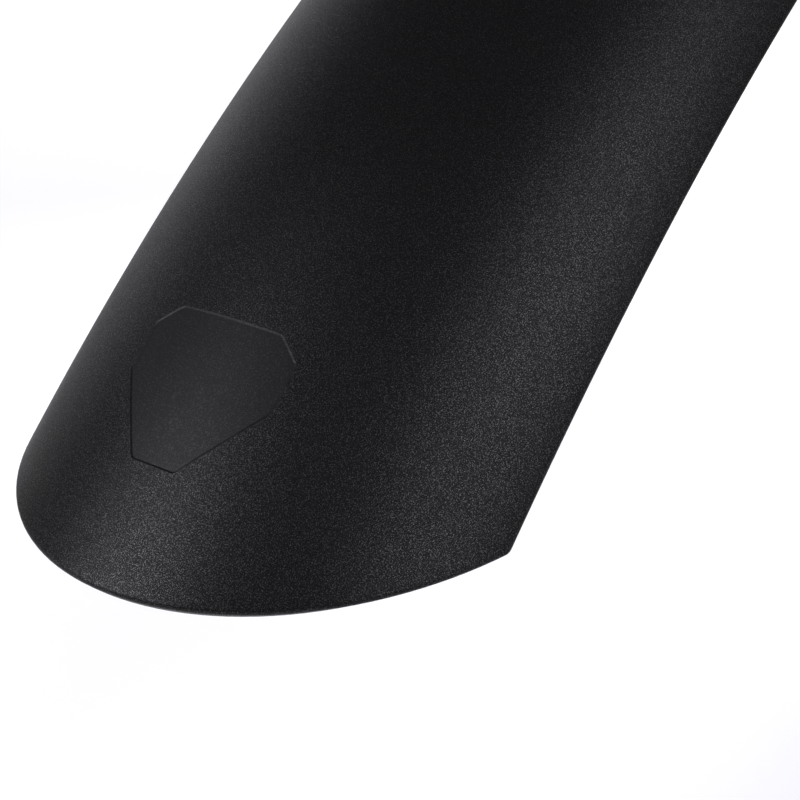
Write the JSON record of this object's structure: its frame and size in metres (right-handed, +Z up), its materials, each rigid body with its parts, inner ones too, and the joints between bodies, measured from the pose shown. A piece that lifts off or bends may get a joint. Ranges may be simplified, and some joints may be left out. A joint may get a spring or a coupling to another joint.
{
  "type": "bicycle mudguard",
  "caption": "Arched black plastic front mudguard with a raked nose, a bare shield-shaped recess on its crown and a riveted fork crown bracket.",
  "frame": {"origin": "middle of the fork crown hole in the bracket's tab", "axes": "+X forward, towards the nose; +Y to the rider's left; +Z up, as fitted on a level bicycle"},
  "size_m": [0.6288, 0.062, 0.3952],
  "materials": {
    "blade_plastic": "fine moulded grain, smoother in the recess",
    "bracket_steel": "zinc plated sheet",
    "rivet_aluminium": "bright",
    "washer_steel": "zinc plated"
  },
  "bodies": {
    "root": {"mudguard_blade": "blade_plastic", "crown_bracket": "bracket_steel", "crown_rivets": "rivet_aluminium", "rivet_washers": "washer_steel"}
  },
  "joints": []
}
